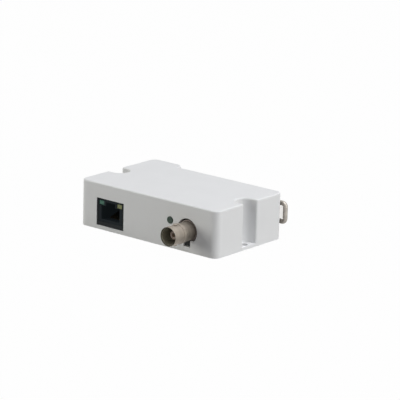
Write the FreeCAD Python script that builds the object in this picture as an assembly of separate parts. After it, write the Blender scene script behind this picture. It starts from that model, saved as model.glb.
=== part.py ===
"""Ethernet over coax transmitter: a moulded case with a network jack, a status light and a bayonet
connector on its front, a circuit board inside, and a wire loop behind its rear wall.

Millimetres. The origin is the middle of the main case's underside, X runs along the front to the
right, Y runs from the front to the rear, and Z is up.
"""
import FreeCAD, Part
import math
import os

os.makedirs("parts", exist_ok=True)
V = FreeCAD.Vector

# Case
CASE_LENGTH = 89.0
CASE_DEPTH = 52.1
CASE_HEIGHT = 24.0
STEP_LENGTH = 20.0          # the part of the rear wall that steps out, at the left end
STEP_DEPTH = 4.75
WALL = 2.0
ROOF = 2.0
CORNER_R = 3.5
TOP_EDGE_R = 0.8
INNER_EDGE_R = 0.5

# Round-ended notches for the wall screws, one in each short side
NOTCH_R = 5.2
NOTCH_DEPTH = 8.4
NOTCH_MOUTH_R = 1.0
NOTCH_WALL = 1.6
NOTCH_FLOOR = 1.5
WALL_SCREW_HOLE_R = 1.9

# Bottom cover, and the posts and screws that hold it
COVER_T = 1.4
COVER_GAP = 0.15
POST_R = 3.0
POST_FROM_SIDE = 4.5        # post centre to the inside of the short wall
POST_FROM_FRONT = 5.05      # post centre to the inside of the long wall
POST_RIB_T = 1.2
POST_RIB_DROP = 14.0        # how far the rib comes down from the roof
COVER_SCREW_R = 1.25
COVER_SCREW_LENGTH = 8.0
COVER_SCREW_HEAD_R = 2.3
COVER_SCREW_CONE = 1.0
SCREW_GAP = 0.05            # round a shank in its bore
HEAD_GAP = 0.1              # round a sunk head in its seat
BORE_SPARE = 1.5            # bore left past the screw's end
RECESS_W = 0.6
RECESS_DEPTH = 0.6

# Circuit board
BOARD_T = 1.6
BOARD_LIFT = 1.3            # pillar height above the bottom cover
BOARD_GAP_SIDE = 0.5        # to the notch walls
BOARD_GAP_FRONT = 0.3       # to the long walls
BOARD_CORNER_R = 1.0
PILLAR_R = 2.5
BOARD_SCREW_R = 0.95
BOARD_SCREW_HOLE_R = 1.1
BOARD_SCREW_LENGTH = 3.6
BOARD_SCREW_HEAD_R = 1.9
BOARD_SCREW_HEAD_T = 1.3
SCREW_FROM_END = 3.5        # rear screws to the board's ends
SCREW_FROM_EDGE = 3.25      # all board screws to the board's long edges
FRONT_SCREW_X = 6.0         # front screws to the board's middle
PEG_GAP = 0.05

# Network jack
JACK_FROM_LEFT = 20.1       # jack middle to the case's left side
JACK_W = 15.9
JACK_H = 11.5
JACK_DEPTH = 18.0
JACK_RECESS = 0.3           # jack face behind the case's front
JACK_SIDE_GAP = 1.1         # case opening to the jack
JACK_TOP_GAP = 0.45
JACK_BOTTOM_GAP = 2.3
PLUG_W = 12.0
PLUG_H = 7.0
PLUG_DEPTH = 13.0
PLUG_SILL = 1.3             # floor of the plug space above the jack's underside
LATCH_W = 6.2
LATCH_H = 2.1
LIGHT_W = 3.3
LIGHT_H = 2.2
LIGHT_DEPTH = 9.0
LIGHT_INSET = 0.35          # light to the jack's side
LIGHT_DROP = 0.7            # light to the jack's top
LIGHT_GAP = 0.04
LIGHT_RECESS = 0.15
LIGHT_BEVEL = 0.25
CONTACTS = 8
CONTACT_PITCH = 1.02
CONTACT_W = 0.45
CONTACT_T = 0.35
CONTACT_RISE = 2.1          # contact root above the plug space's floor
CONTACT_FLAT = 2.0
CONTACT_REACH = 9.0
JACK_PEG_R = 1.55
JACK_PEG_X = 5.7
JACK_PEG_Y = 9.0            # pegs behind the jack face
PEG_LENGTH = 2.2

# Coaxial connector, sizes along its axis measured back from the mouth
BNC_FROM_RIGHT = 18.4       # axis to the case's right side
BNC_ABOVE_BOARD = 6.4
BNC_REACH = 14.3            # mouth in front of the case
BNC_NOSE_R = 4.85
BNC_NOSE_LENGTH = 6.7
BNC_MOUTH_CHAMFER = 0.1
BNC_BORE_R = 4.25
BNC_BORE_CHAMFER = 0.45
BNC_BORE_DEPTH = 9.5
BNC_COLLAR_R = 5.1
BNC_COLLAR_END = 8.4
BNC_GROOVE_R = 4.5
BNC_GROOVE_END = 8.8
BNC_FLANGE_R = 4.8
BNC_TAIL_R = 4.4
BNC_TAIL_LENGTH = 6.0
BNC_TAIL_BORE_R = 3.4
BNC_HOLE_GAP = 1.5          # case hole round the flange
BNC_HOLE_FLAT = 4.55        # flat bottom of the hole below the axis
BNC_KEY_W = 4.3             # slot in the case below the hole
BNC_KEY_DROP = 8.0
BAYONET_R = 1.0
BAYONET_TIP = 5.5           # lug tip to the axis
BAYONET_BACK = 5.2
NOSE_INSULATOR_R = 2.1
INSULATOR_RECESS = 4.0
SOCKET_SETBACK = 1.2        # socket's mouth behind the insulator's face
SOCKET_R = 0.95
SOCKET_BORE_R = 0.65
SOCKET_BORE_DEPTH = 5.0
SOCKET_END_T = 1.0
SOCKET_SLIT = 0.3
FIT_GAP = 0.03              # round each piece that is pushed into another
BNC_BASE_W = 14.4
BNC_BASE_DEPTH = 13.0
BNC_BASE_H = 13.0
BNC_BASE_CHAMFER = 2.0
BNC_BASE_GAP = 0.15         # base to the inside of the front wall
BNC_PEG_R = 1.0
BNC_PEG_X = 5.0
BNC_PEG_Y = 4.0
TAIL_PIN_R = 0.5
TAIL_SLOT_W = 1.6

# Status light
LIGHT_FROM_BNC = 11.0       # light to the coaxial connector's axis
LIGHT_ABOVE_BOARD = 9.8
LIGHT_HOLE_R = 1.95
LIGHT_PIPE_GAP = 0.1
LIGHT_PIPE_PROUD = 0.35
LIGHT_PIPE_RIM_R = 0.3
LIGHT_PIPE_LEG = 7.0        # leg behind the case's front
LIGHT_PIPE_FOOT = 0.3       # above the lamp chip
LED_SIZE = (1.6, 1.2, 0.8)
PIPE_PEG_R = 0.6

# Components on the board, placed from the jack, the connector, the board's edges or its middle
PART_GAP = 1.0
LEAD_T = 0.2
CHIP_LIFT = 0.1
CHIP_BEVEL = 0.3
LAN_BODY = (12.8, 7.0, 5.6)
LAN_SPAN = 9.5
LAN_GAP = 2.5               # to the jack in front and the network chip behind
LAN_LEAD_COUNT = 8
LAN_PITCH = 1.27
CHIP_SIZE = 7.0
CHIP_SPAN = 9.0
CHIP_H = 1.4
CHIP_LEAD_COUNT = 8
CHIP_PITCH = 0.8
CRYSTAL_LENGTH = 10.0
CRYSTAL_W = 4.2
CRYSTAL_H = 3.6
CRYSTAL_FLANGE = 0.4
CRYSTAL_FLANGE_T = 0.5
MODEM_X = -1.5
MODEM_SIZE = 12.0
MODEM_H = 1.5
DIMPLE_R = 0.5
DIMPLE_DEPTH = 0.1
DIMPLE_INSET = 1.5
MEMORY_FROM_MODEM = 4.0     # to the left
MEMORY_BODY = (5.3, 5.3, 1.8)
MEMORY_SPAN = 8.0
POWER_CHIP_FROM_MODEM = 4.0 # to the right
POWER_CHIP_BODY = (4.9, 3.9, 1.5)
POWER_CHIP_SPAN = 6.0
SMALL_CHIPS_FROM_REAR = 6.25
SMALL_LEAD_COUNT = 4
SMALL_PITCH = 1.27
ARRESTER_FROM_BNC = 11.4
ARRESTER_R = 2.3
ARRESTER_LENGTH = 6.0
ARRESTER_CAP = 1.2
ARRESTER_CAP_RISE = 0.2
OUTER_COLUMN = 3.4          # right of the connector's axis: the two chokes and a capacitor
INNER_COLUMN = 4.4          # left of it: the coupling transformer and two capacitors
COUPLER_BODY = (6.5, 7.0, 5.5)
COUPLER_FLANGE = 1.0
COUPLER_CORE_W = 2.8
COUPLER_COIL_R = 2.7
INDUCTOR_SIZE = 7.0
INDUCTOR_H = 4.0
INDUCTOR_CORNER = 1.2
INDUCTOR_RING_OUTER = 3.0
INDUCTOR_RING_INNER = 2.6
INDUCTOR_RING_DEPTH = 0.4
CAPACITOR_R = 3.15
CAPACITOR_H = 11.0
CAPACITOR_WAIST_R = 2.9
CAPACITOR_WAIST_Z = 2.8
CAPACITOR_WAIST_H = 0.8
CAPACITOR_RIM = 0.4
CAPACITOR_BASE = 6.6
CAPACITOR_BASE_T = 1.3
CAPACITOR_BASE_CORNER = 1.3
DIODE_BODY = (4.3, 2.6, 2.2)
DIODE_TAB = (5.1, 1.4, 0.9)
DIODE_LIFT = 0.2
DIODE_FROM_FRONT = 7.05
DIODE_COUNT = 3
DIODE_PITCH = 5.6
CHIP_CAP = (2.0, 1.25, 0.9)
CHIP_RESISTOR = (1.6, 0.8, 0.5)
ROW_COUNT = 6
ROW_PITCH = 2.2
CAP_ROW_GAP = 2.2           # row to the modem chip
RESISTOR_ROW_GAP = 4.3

# Wire loop behind the rear wall, round a moulded insert
LOOP_WIRE_R = 1.2
LOOP_FROM_REAR = 2.7        # wire centre to the rear wall
LOOP_FROM_RIGHT = 0.3       # wire centre to the case's right side
LOOP_LEG_X = 8.0            # legs to the case's right side
LOOP_LOW = 7.7
LOOP_HIGH = 17.3
LOOP_BEND_R = 1.9
LOOP_HOLE_GAP = 0.05
LOOP_SLEEVE_R = 2.4
LOOP_SLEEVE = 1.6
INSERT_GAP = 0.15           # insert to the wire
INSERT_REACH = 3.2          # behind the rear wall
INSERT_EDGE_R = 0.8
INSERT_PEG_R = 1.5
INSERT_PEG_LENGTH = 3.0

PAST = 1.0                  # how far a cutting shape runs past the face it cuts

# Places worked out from the sizes above
FRONT = -CASE_DEPTH / 2
REAR = CASE_DEPTH / 2
LEFT = -CASE_LENGTH / 2
RIGHT = CASE_LENGTH / 2
NOTCH_X = RIGHT - NOTCH_DEPTH + NOTCH_R
POST_X = RIGHT - WALL - POST_FROM_SIDE
POST_Y = REAR - WALL - POST_FROM_FRONT
BOARD_X = RIGHT - NOTCH_DEPTH - NOTCH_WALL - BOARD_GAP_SIDE
BOARD_Y = REAR - WALL - BOARD_GAP_FRONT
BOARD_BOTTOM = COVER_T + BOARD_LIFT
BOARD_TOP = BOARD_BOTTOM + BOARD_T
JACK_X = LEFT + JACK_FROM_LEFT
JACK_FRONT = FRONT + JACK_RECESS
JACK_REAR = JACK_FRONT + JACK_DEPTH
BNC_X = RIGHT - BNC_FROM_RIGHT
BNC_Z = BOARD_TOP + BNC_ABOVE_BOARD
BNC_MOUTH = FRONT - BNC_REACH
BASE_FRONT = FRONT + WALL + BNC_BASE_GAP
BASE_REAR = BASE_FRONT + BNC_BASE_DEPTH
TAIL_START = BASE_FRONT - BNC_MOUTH
TAIL_END = TAIL_START + BNC_TAIL_LENGTH
LIGHT_X = BNC_X - LIGHT_FROM_BNC
LIGHT_Z = BOARD_TOP + LIGHT_ABOVE_BOARD
LIGHT_PIPE_R = LIGHT_HOLE_R - LIGHT_PIPE_GAP
LAN_Y = JACK_REAR + LAN_GAP + LAN_SPAN / 2
ETHERNET_Y = LAN_Y + LAN_SPAN / 2 + LAN_GAP + CHIP_SPAN / 2
CRYSTAL_X = JACK_X + CHIP_SPAN / 2 + PART_GAP + CRYSTAL_W / 2
BOARD_SCREWS = (
    (-FRONT_SCREW_X, -BOARD_Y + SCREW_FROM_EDGE),
    (FRONT_SCREW_X, -BOARD_Y + SCREW_FROM_EDGE),
    (-BOARD_X + SCREW_FROM_END, BOARD_Y - SCREW_FROM_EDGE),
    (BOARD_X - SCREW_FROM_END, BOARD_Y - SCREW_FROM_EDGE),
)
POSTS = [(side * POST_X, end * POST_Y) for side in (-1, 1) for end in (-1, 1)]


def box(x0, x1, y0, y1, z0, z1):
    return Part.makeBox(x1 - x0, y1 - y0, z1 - z0, V(x0, y0, z0))


def block(x, y, size, z):
    """Box of a given size, centred on x, y and standing on z."""
    length, depth, height = size
    return box(x - length / 2, x + length / 2, y - depth / 2, y + depth / 2, z, z + height)


def post(x, y, radius, z0, z1):
    return Part.makeCylinder(radius, z1 - z0, V(x, y, z0))


def outline(corners):
    """Closed wire in plan through (x, y, radius) corners, each rounded by its radius."""
    count = len(corners)
    bends = []
    for i, (x, y, radius) in enumerate(corners):
        here = V(x, y, 0)
        back = (V(corners[i - 1][0], corners[i - 1][1], 0) - here).normalize()
        ahead_x, ahead_y, _ = corners[(i + 1) % count]
        ahead = (V(ahead_x, ahead_y, 0) - here).normalize()
        half = back.getAngle(ahead) / 2
        reach = radius / math.tan(half)
        inward = (back + ahead).normalize()
        middle = here + inward * (radius / math.sin(half) - radius)
        bends.append((here + back * reach, middle, here + ahead * reach))
    edges = []
    for i, (start, middle, end) in enumerate(bends):
        edges.append(Part.Arc(start, middle, end).toShape())
        onward = bends[(i + 1) % count][0]
        if (onward - end).Length > 1e-4:
            edges.append(Part.makeLine(end, onward))
    return Part.Wire(edges)


def prism(wire, z0, z1):
    face = Part.Face(wire)
    face.translate(V(0, 0, z0))
    return face.extrude(V(0, 0, z1 - z0))


def side_profile(points, x0, x1):
    """Prism along X through (y, z) points."""
    corners = [V(x0, y, z) for y, z in points]
    wire = Part.makePolygon(corners + corners[:1])
    return Part.Face(wire).extrude(V(x1 - x0, 0, 0))


def turned(points):
    """Solid of revolution about the coaxial connector's axis, through (back from mouth, radius)."""
    corners = [V(BNC_X, BNC_MOUTH + back, BNC_Z + radius) for back, radius in points]
    wire = Part.makePolygon(corners + corners[:1])
    return Part.Face(wire).revolve(V(BNC_X, 0, BNC_Z), V(0, 1, 0), 360)


def case_outline(inset, notch_wall):
    """The case in plan, drawn in by inset, with its notches widened by notch_wall."""
    left = LEFT + inset
    right = RIGHT - inset
    front = FRONT + inset
    rear = REAR - inset
    step_x = LEFT + STEP_LENGTH - inset
    step_y = REAR + STEP_DEPTH - inset
    corner = max(CORNER_R - inset, INNER_EDGE_R)
    mouth = max(NOTCH_MOUTH_R - inset, INNER_EDGE_R)
    half = NOTCH_R + notch_wall
    deep = RIGHT - NOTCH_DEPTH - notch_wall
    return outline([
        (left, front, corner), (right, front, corner),
        (right, -half, mouth), (deep, -half, half), (deep, half, half), (right, half, mouth),
        (right, rear, corner), (step_x, rear, INNER_EDGE_R + inset),
        (step_x, step_y, corner), (left, step_y, corner),
        (left, half, mouth), (-deep, half, half), (-deep, -half, half), (left, -half, mouth),
    ])


def top_edges(shape, z):
    return [edge for edge in shape.Edges
            if abs(edge.BoundBox.ZMin - z) < 1e-4 and abs(edge.BoundBox.ZMax - z) < 1e-4]


def upright_edges(shape):
    return [edge for edge in shape.Edges if edge.BoundBox.ZLength > shape.BoundBox.ZLength / 2]


def cross_recess(x, y, z, radius, depth):
    """Two crossed slots cut down from z, or up from it when depth is negative."""
    low, high = sorted((z, z - depth))
    half = RECESS_W / 2
    return [box(x - radius, x + radius, y - half, y + half, low, high),
            box(x - half, x + half, y - radius, y + radius, low, high)]


def along_y(x, y, z, radius, length):
    return Part.makeCylinder(radius, length, V(x, y, z), V(0, 1, 0))


def front_hole(x, z, radius):
    return along_y(x, FRONT - PAST, z, radius, WALL + PAST + PAST)


def jack_opening():
    half = JACK_W / 2 + JACK_SIDE_GAP
    return box(JACK_X - half, JACK_X + half, FRONT - PAST, FRONT + WALL + PAST,
               BOARD_TOP - JACK_BOTTOM_GAP, BOARD_TOP + JACK_H + JACK_TOP_GAP)


def bnc_opening():
    """Round hole for the barrel, cut off flat below it, with a narrower slot down from the flat."""
    radius = BNC_FLANGE_R + BNC_HOLE_GAP
    below = box(BNC_X - radius, BNC_X + radius, FRONT - PAST, FRONT + WALL + PAST, 0, BNC_Z - BNC_HOLE_FLAT)
    hole = front_hole(BNC_X, BNC_Z, radius).cut(below)
    half = BNC_KEY_W / 2
    key = box(BNC_X - half, BNC_X + half, FRONT - PAST, FRONT + WALL + PAST, BNC_Z - BNC_KEY_DROP, BNC_Z)
    return hole.fuse(key)


def loop_legs():
    x = RIGHT - LOOP_LEG_X
    return [(x, LOOP_LOW), (x, LOOP_HIGH)]


def insert_peg(gap, y):
    """Peg of the loop's insert, widened by gap, from the inside of the rear wall to y."""
    x = RIGHT - LOOP_LEG_X + LOOP_WIRE_R + INSERT_PEG_R
    start = REAR - INSERT_PEG_LENGTH - gap
    return along_y(x, start, (LOOP_LOW + LOOP_HIGH) / 2, INSERT_PEG_R + gap, y - start)


def loop_insert():
    """Block with rounded edges that fills the inside of the wire loop, pegged into the rear wall."""
    clear = LOOP_WIRE_R + INSERT_GAP
    body = box(RIGHT - LOOP_LEG_X, RIGHT - LOOP_FROM_RIGHT - clear, REAR + FIT_GAP, REAR + INSERT_REACH,
               LOOP_LOW + clear, LOOP_HIGH - clear)
    front = [edge for edge in body.Edges if edge.BoundBox.YMax < REAR + INSERT_REACH / 2]
    rounded = [edge for edge in body.Edges if not any(edge.isSame(other) for other in front)]
    return body.makeFillet(INSERT_EDGE_R, rounded).fuse(insert_peg(0, REAR + INSERT_EDGE_R))


def screw_post(x, y):
    """Post from the roof to the bottom cover, tied to the short wall by a rib."""
    roof = CASE_HEIGHT - ROOF
    wall_x = math.copysign(RIGHT - WALL / 2, x)
    near, far = sorted((x, wall_x))
    rib = box(near, far, y - POST_RIB_T / 2, y + POST_RIB_T / 2, roof - POST_RIB_DROP, roof + ROOF / 2)
    return [post(x, y, POST_R, COVER_T, roof + ROOF / 2), rib]


def top_cover():
    shell = prism(case_outline(0, 0), 0, CASE_HEIGHT)
    shell = shell.makeFillet(TOP_EDGE_R, top_edges(shell, CASE_HEIGHT))
    shell = shell.cut(prism(case_outline(WALL, NOTCH_WALL), -PAST, CASE_HEIGHT - ROOF))
    added = []
    mouth = NOTCH_R + NOTCH_MOUTH_R
    inner = block(0, 0, (2 * NOTCH_X, CASE_DEPTH, NOTCH_FLOOR), 0)
    for side in (-1, 1):
        near, far = sorted((side * NOTCH_X, side * RIGHT))
        added.append(post(side * NOTCH_X, 0, NOTCH_R + NOTCH_WALL / 2, 0, NOTCH_FLOOR).common(inner))
        added.append(box(near, far, -mouth, mouth, 0, NOTCH_FLOOR))
    for x, y in POSTS:
        added += screw_post(x, y)
    sleeve_start = REAR - WALL - LOOP_SLEEVE
    for x, z in loop_legs():
        added.append(along_y(x, sleeve_start, z, LOOP_SLEEVE_R, LOOP_SLEEVE + WALL / 2))
    shell = shell.fuse(added)
    holes = [jack_opening(), bnc_opening(), front_hole(LIGHT_X, LIGHT_Z, LIGHT_HOLE_R)]
    for side in (-1, 1):
        holes.append(post(side * NOTCH_X, 0, WALL_SCREW_HOLE_R, -PAST, NOTCH_FLOOR + PAST))
    for x, y in POSTS:
        holes.append(post(x, y, COVER_SCREW_R + SCREW_GAP, 0, COVER_SCREW_LENGTH + BORE_SPARE))
    for x, z in loop_legs():
        length = LOOP_SLEEVE + WALL + PAST + PAST
        holes.append(along_y(x, sleeve_start - PAST, z, LOOP_WIRE_R + LOOP_HOLE_GAP, length))
    holes.append(insert_peg(FIT_GAP, REAR + PAST))
    return shell.cut(holes).removeSplitter()


def screw_cone(x, y, grow):
    """Sunk seat of a cover screw, opening downwards at the underside."""
    rise = COVER_SCREW_CONE + grow
    return Part.makeCone(COVER_SCREW_HEAD_R + grow, COVER_SCREW_R + grow, rise, V(x, y, 0))


def bottom_cover():
    plate = prism(case_outline(WALL + COVER_GAP, NOTCH_WALL + COVER_GAP), 0, COVER_T)
    pillars = [post(x, y, PILLAR_R, COVER_T / 2, BOARD_BOTTOM) for x, y in BOARD_SCREWS]
    plate = plate.fuse(pillars)
    holes = []
    for x, y in POSTS:
        holes.append(screw_cone(x, y, HEAD_GAP))
        holes.append(post(x, y, COVER_SCREW_R + HEAD_GAP, -PAST, COVER_T + PAST))
    for x, y in BOARD_SCREWS:
        end = BOARD_TOP - BOARD_SCREW_LENGTH
        holes.append(post(x, y, BOARD_SCREW_R + SCREW_GAP, end - HEAD_GAP, BOARD_BOTTOM + PAST))
    return plate.cut(holes).removeSplitter()


def cover_screws():
    screws = []
    for x, y in POSTS:
        head = screw_cone(x, y, 0)
        shank = post(x, y, COVER_SCREW_R, COVER_SCREW_CONE / 2, COVER_SCREW_LENGTH)
        reach = COVER_SCREW_R
        screws.append(head.fuse(shank).cut(cross_recess(x, y, 0, reach, -RECESS_DEPTH)))
    return screws


def board_screws():
    screws = []
    for x, y in BOARD_SCREWS:
        head = post(x, y, BOARD_SCREW_HEAD_R, BOARD_TOP, BOARD_TOP + BOARD_SCREW_HEAD_T)
        shank = post(x, y, BOARD_SCREW_R, BOARD_TOP - BOARD_SCREW_LENGTH, BOARD_TOP + BOARD_SCREW_HEAD_T / 2)
        top = BOARD_TOP + BOARD_SCREW_HEAD_T
        screws.append(head.fuse(shank).cut(cross_recess(x, y, top, BOARD_SCREW_R, RECESS_DEPTH)))
    return screws


def peg_places():
    """(x, y, radius) of each plastic peg and pin that goes through the board."""
    pegs = [(JACK_X + side * JACK_PEG_X, JACK_FRONT + JACK_PEG_Y, JACK_PEG_R) for side in (-1, 1)]
    pegs += [(BNC_X + side * BNC_PEG_X, BASE_FRONT + BNC_PEG_Y, BNC_PEG_R) for side in (-1, 1)]
    pegs += [(LIGHT_X, pipe_peg_y(), PIPE_PEG_R)]
    pegs += [(BNC_X, tail_pin_y(), TAIL_PIN_R)]
    return pegs


def pipe_peg_y():
    return FRONT + LIGHT_PIPE_LEG + LIGHT_PIPE_R + PIPE_PEG_R


def tail_pin_y():
    return BASE_REAR - TAIL_SLOT_W


def circuit_board():
    corners = [(-BOARD_X, -BOARD_Y), (BOARD_X, -BOARD_Y), (BOARD_X, BOARD_Y), (-BOARD_X, BOARD_Y)]
    board = prism(outline([(x, y, BOARD_CORNER_R) for x, y in corners]), BOARD_BOTTOM, BOARD_TOP)
    holes = [post(x, y, BOARD_SCREW_HOLE_R, 0, CASE_HEIGHT) for x, y in BOARD_SCREWS]
    holes += [post(x, y, radius + PEG_GAP, 0, CASE_HEIGHT) for x, y, radius in peg_places()]
    return board.cut(holes)


def light_windows(grow):
    """The jack's two light spaces, widened by grow."""
    windows = []
    for side in (-1, 1):
        middle = JACK_X + side * (JACK_W / 2 - LIGHT_INSET - LIGHT_W / 2)
        half = LIGHT_W / 2 + grow
        top = BOARD_TOP + JACK_H - LIGHT_DROP
        windows.append((middle - half, middle + half, top - LIGHT_H - grow, top + grow))
    return windows


def plug_floor():
    return BOARD_TOP + PLUG_SILL


def rj45_housing():
    rear = JACK_FRONT + PLUG_DEPTH
    body = box(JACK_X - JACK_W / 2, JACK_X + JACK_W / 2, JACK_FRONT, JACK_REAR, BOARD_TOP, BOARD_TOP + JACK_H)
    floor = plug_floor()
    roof = floor + PLUG_H
    start = JACK_FRONT - PAST
    cuts = [box(JACK_X - PLUG_W / 2, JACK_X + PLUG_W / 2, start, rear, floor, roof)]
    cuts.append(box(JACK_X - LATCH_W / 2, JACK_X + LATCH_W / 2, start, rear, roof - PAST, roof + LATCH_H))
    for x0, x1, z0, z1 in light_windows(LIGHT_GAP):
        cuts.append(box(x0, x1, start, JACK_FRONT + LIGHT_RECESS + LIGHT_DEPTH, z0, z1))
    pegs = [post(x, y, radius, BOARD_TOP - PEG_LENGTH, BOARD_TOP + PLUG_SILL / 2)
            for x, y, radius in peg_places()[:2]]
    return body.cut(cuts).fuse(pegs).removeSplitter()


def rj45_contacts():
    """Sprung strips that lean forward and down from the rear of the plug space."""
    rear = JACK_FRONT + PLUG_DEPTH
    root = plug_floor() + CONTACT_RISE
    bend = rear - CONTACT_FLAT
    tip = rear - CONTACT_REACH
    rest = plug_floor() + FIT_GAP
    points = [(rear, root), (bend, root), (tip, rest), (tip, rest + CONTACT_T),
              (bend, root + CONTACT_T), (rear, root + CONTACT_T)]
    strips = []
    for i in range(CONTACTS):
        middle = JACK_X + (i - (CONTACTS - 1) / 2) * CONTACT_PITCH
        strips.append(side_profile(points, middle - CONTACT_W / 2, middle + CONTACT_W / 2))
    return strips


def jack_light(index):
    x0, x1, z0, z1 = light_windows(0)[index]
    start = JACK_FRONT + LIGHT_RECESS
    lamp = box(x0, x1, start, start + LIGHT_DEPTH, z0, z1)
    front = [edge for edge in lamp.Edges if abs(edge.BoundBox.YMax - start) < 1e-4]
    return lamp.makeChamfer(LIGHT_BEVEL, front)


def light_pipe():
    """Rod through the front wall, with a square leg down to the lamp chip and a peg beside it."""
    start = FRONT - LIGHT_PIPE_PROUD
    leg_y = FRONT + LIGHT_PIPE_LEG
    rod = along_y(LIGHT_X, start, LIGHT_Z, LIGHT_PIPE_R, leg_y - start)
    front = [edge for edge in rod.Edges if edge.BoundBox.YMax < start + LIGHT_PIPE_PROUD]
    rod = rod.makeFillet(LIGHT_PIPE_RIM_R, front)
    half = LIGHT_PIPE_R
    foot = BOARD_TOP + LED_SIZE[2] + LIGHT_PIPE_FOOT
    bend = [(leg_y - half, foot), (leg_y + half, foot), (leg_y + half, LIGHT_Z),
            (leg_y, LIGHT_Z + half), (leg_y - half, LIGHT_Z + half)]
    leg = side_profile(bend, LIGHT_X - half, LIGHT_X + half)
    peg_y = pipe_peg_y()
    peg = post(LIGHT_X, peg_y, PIPE_PEG_R, BOARD_TOP - PEG_LENGTH, foot + half)
    arm = box(LIGHT_X - PIPE_PEG_R, LIGHT_X + PIPE_PEG_R, leg_y, peg_y + PIPE_PEG_R, foot, foot + half)
    return rod.fuse([leg, arm, peg]).removeSplitter()


def status_led():
    return block(LIGHT_X, FRONT + LIGHT_PIPE_LEG, LED_SIZE, BOARD_TOP)


def bnc_shell():
    groove = BNC_GROOVE_END
    barrel = turned([
        (0, BNC_NOSE_R - BNC_MOUTH_CHAMFER), (BNC_MOUTH_CHAMFER, BNC_NOSE_R),
        (BNC_NOSE_LENGTH, BNC_NOSE_R), (BNC_NOSE_LENGTH, BNC_COLLAR_R),
        (BNC_COLLAR_END, BNC_COLLAR_R), (BNC_COLLAR_END, BNC_GROOVE_R), (groove, BNC_GROOVE_R),
        (groove, BNC_FLANGE_R), (TAIL_START, BNC_FLANGE_R), (TAIL_START, BNC_TAIL_R),
        (TAIL_END, BNC_TAIL_R), (TAIL_END, BNC_TAIL_BORE_R), (BNC_BORE_DEPTH, BNC_TAIL_BORE_R),
        (BNC_BORE_DEPTH, BNC_BORE_R), (BNC_BORE_CHAMFER, BNC_BORE_R), (0, BNC_BORE_R + BNC_BORE_CHAMFER),
    ])
    wall = (BNC_NOSE_R + BNC_BORE_R) / 2
    lugs = []
    for side in (-1, 1):
        start = V(BNC_X, BNC_MOUTH + BAYONET_BACK, BNC_Z + side * wall)
        lugs.append(Part.makeCylinder(BAYONET_R, BAYONET_TIP - wall, start, V(0, 0, side)))
    return barrel.fuse(lugs)


def socket_start():
    return INSULATOR_RECESS + SOCKET_SETBACK


def bnc_insulator():
    radius = BNC_TAIL_BORE_R - FIT_GAP
    bore = SOCKET_R + FIT_GAP
    socket_end = socket_start() + SOCKET_BORE_DEPTH + SOCKET_END_T
    pin = TAIL_PIN_R + FIT_GAP
    return turned([
        (INSULATOR_RECESS, bore), (INSULATOR_RECESS, NOSE_INSULATOR_R),
        (BNC_BORE_DEPTH, NOSE_INSULATOR_R), (BNC_BORE_DEPTH, radius), (TAIL_END, radius),
        (TAIL_END, pin), (socket_end + FIT_GAP, pin), (socket_end + FIT_GAP, bore),
    ])


def bnc_centre_contact():
    """Slit socket, with a tail that runs back and turns down through the board."""
    start = socket_start()
    socket_end = start + SOCKET_BORE_DEPTH + SOCKET_END_T
    pin_y = tail_pin_y()
    body = turned([
        (start, SOCKET_BORE_R), (start, SOCKET_R), (socket_end, SOCKET_R), (socket_end, TAIL_PIN_R),
        (pin_y - BNC_MOUTH, TAIL_PIN_R), (pin_y - BNC_MOUTH, 0), (start + SOCKET_BORE_DEPTH, 0),
        (start + SOCKET_BORE_DEPTH, SOCKET_BORE_R),
    ])
    half = SOCKET_SLIT / 2
    front = BNC_MOUTH + start
    slit = box(BNC_X - SOCKET_R - PAST, BNC_X + SOCKET_R + PAST, front - PAST, front + SOCKET_BORE_DEPTH,
               BNC_Z - half, BNC_Z + half)
    leg = post(BNC_X, pin_y, TAIL_PIN_R, BOARD_TOP - PEG_LENGTH, BNC_Z + TAIL_PIN_R)
    return body.cut(slit).fuse(leg)


def bnc_base():
    half = BNC_BASE_W / 2
    top = BOARD_TOP + BNC_BASE_H
    body = box(BNC_X - half, BNC_X + half, BASE_FRONT, BASE_REAR, BOARD_TOP, top)
    upper = [edge for edge in top_edges(body, top) if edge.BoundBox.YLength > BNC_BASE_DEPTH / 2]
    body = body.makeChamfer(BNC_BASE_CHAMFER, upper)
    tail_y = BNC_MOUTH + TAIL_END
    bore = along_y(BNC_X, BASE_FRONT - PAST, BNC_Z, BNC_TAIL_R + FIT_GAP, tail_y - BASE_FRONT + PAST)
    slot = TAIL_SLOT_W / 2
    pocket = box(BNC_X - slot, BNC_X + slot, tail_y - PAST, BASE_REAR + PAST, BOARD_TOP - PAST, BNC_Z + slot)
    pegs = [post(x, y, r, BOARD_TOP - PEG_LENGTH, BOARD_TOP + PAST) for x, y, r in peg_places()[2:4]]
    return body.fuse(pegs).cut([bore, pocket])


def lead_profile(half_span, half_body, height):
    """(distance, z) outline of a bent lead from the side of a chip down to the board."""
    foot = (half_body + half_span) / 2
    root = half_body - LEAD_T
    return [(root, height), (foot - LEAD_T, height), (foot - LEAD_T, 0), (half_span, 0),
            (half_span, LEAD_T), (foot, LEAD_T), (foot, height + LEAD_T), (root, height + LEAD_T)]


def lead_rows(x, y, body, span, count, pitch):
    """Rows of leads on the front and rear sides of a chip."""
    length, depth, height = body
    profile = lead_profile(span / 2, depth / 2, height / 3)
    leads = []
    for side in (-1, 1):
        points = [(y + side * distance, BOARD_TOP + z) for distance, z in profile]
        for i in range(count):
            middle = x + (i - (count - 1) / 2) * pitch
            leads.append(side_profile(points, middle - pitch / 5, middle + pitch / 5))
    return leads


def chip_moulding(x, y, body):
    length, depth, height = body
    return block(x, y, (length, depth, height - CHIP_LIFT), BOARD_TOP + CHIP_LIFT)


def two_row_chip(x, y, body, span, count, pitch):
    return chip_moulding(x, y, body).fuse(lead_rows(x, y, body, span, count, pitch))


def lan_transformer():
    return two_row_chip(JACK_X, LAN_Y, LAN_BODY, LAN_SPAN, LAN_LEAD_COUNT, LAN_PITCH)


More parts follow.
